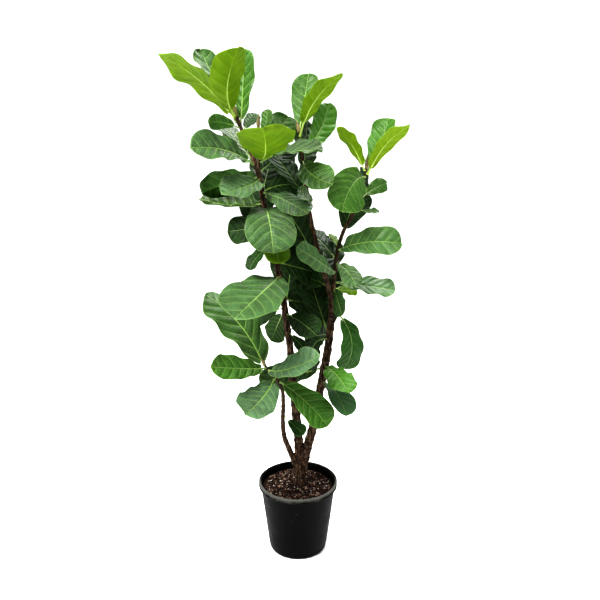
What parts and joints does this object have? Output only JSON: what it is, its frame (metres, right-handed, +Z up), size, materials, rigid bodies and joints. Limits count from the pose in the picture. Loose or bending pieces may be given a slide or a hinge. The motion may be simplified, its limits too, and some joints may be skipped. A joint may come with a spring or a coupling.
{
  "type": "potted fiddle leaf fig",
  "caption": "Tall potted fiddle leaf fig with forked woody stems and large violin-shaped green leaves, in a tapered black plastic grower pot.",
  "frame": {"origin": "centre of the pot's underside, on the surface the pot stands on", "axes": "+Z up along the plant, -Y towards the front, +X to the right seen from the front"},
  "size_m": [0.7396, 0.5279, 1.6602],
  "materials": {
    "black_plastic": "matt black injection-moulded polypropylene, slightly scuffed",
    "potting_mix": "coarse bark-based potting mix with pale perlite and grit, matt and slightly damp",
    "bark": "rough grey-brown bark with leaf scars",
    "old_leaf": "leathery dark green leaf with a waxy sheen and pale veins",
    "leaf": "leathery mid-green leaf with a waxy sheen and pale veins",
    "young_leaf": "soft bright yellow-green young leaf with pale veins"
  },
  "bodies": {
    "root": {"pot": "black_plastic", "potting_mix": "potting_mix", "trunk": "bark", "leaf_crown_1": "young_leaf", "leaf_crown_2": "leaf", "leaf_crown_3": "young_leaf", "leaf_crown_4": "leaf", "leaf_crown_5": "leaf", "leaf_crown_6": "leaf", "leaf_side_1": "young_leaf", "leaf_side_2": "leaf", "leaf_side_3": "leaf", "leaf_side_4": "leaf", "leaf_side_5": "leaf", "leaf_middle_1": "leaf", "leaf_middle_2": "young_leaf", "leaf_middle_3": "leaf", "leaf_middle_4": "leaf", "leaf_middle_5": "old_leaf", "leaf_middle_6": "old_leaf", "leaf_right_1": "young_leaf", "leaf_right_2": "leaf", "leaf_right_3": "young_leaf", "leaf_right_4": "leaf", "leaf_right_5": "leaf", "leaf_right_6": "leaf", "leaf_right_7": "old_leaf", "leaf_fork_1": "leaf", "leaf_fork_2": "leaf", "leaf_fork_3": "leaf", "leaf_fork_4": "old_leaf", "leaf_tall_1": "leaf", "leaf_tall_2": "old_leaf", "leaf_tall_3": "leaf", "leaf_tall_4": "leaf", "leaf_tall_5": "leaf", "leaf_tall_6": "old_leaf", "leaf_tall_7": "old_leaf", "leaf_tall_8": "young_leaf", "leaf_tall_9": "old_leaf", "leaf_tall_10": "leaf", "leaf_tall_11": "old_leaf", "leaf_tall_12": "old_leaf", "leaf_tall_13": "old_leaf", "leaf_tall_14": "old_leaf", "leaf_tall_15": "old_leaf", "leaf_tall_16": "old_leaf", "leaf_tall_17": "leaf", "leaf_tall_18": "old_leaf", "leaf_low_1": "leaf", "leaf_low_2": "leaf", "leaf_low_3": "leaf", "leaf_low_4": "leaf", "leaf_low_5": "leaf", "leaf_low_6": "old_leaf", "leaf_lower_1": "leaf", "leaf_lower_2": "old_leaf", "leaf_lower_3": "old_leaf", "leaf_lower_4": "old_leaf", "leaf_lower_5": "old_leaf"}
  },
  "joints": []
}
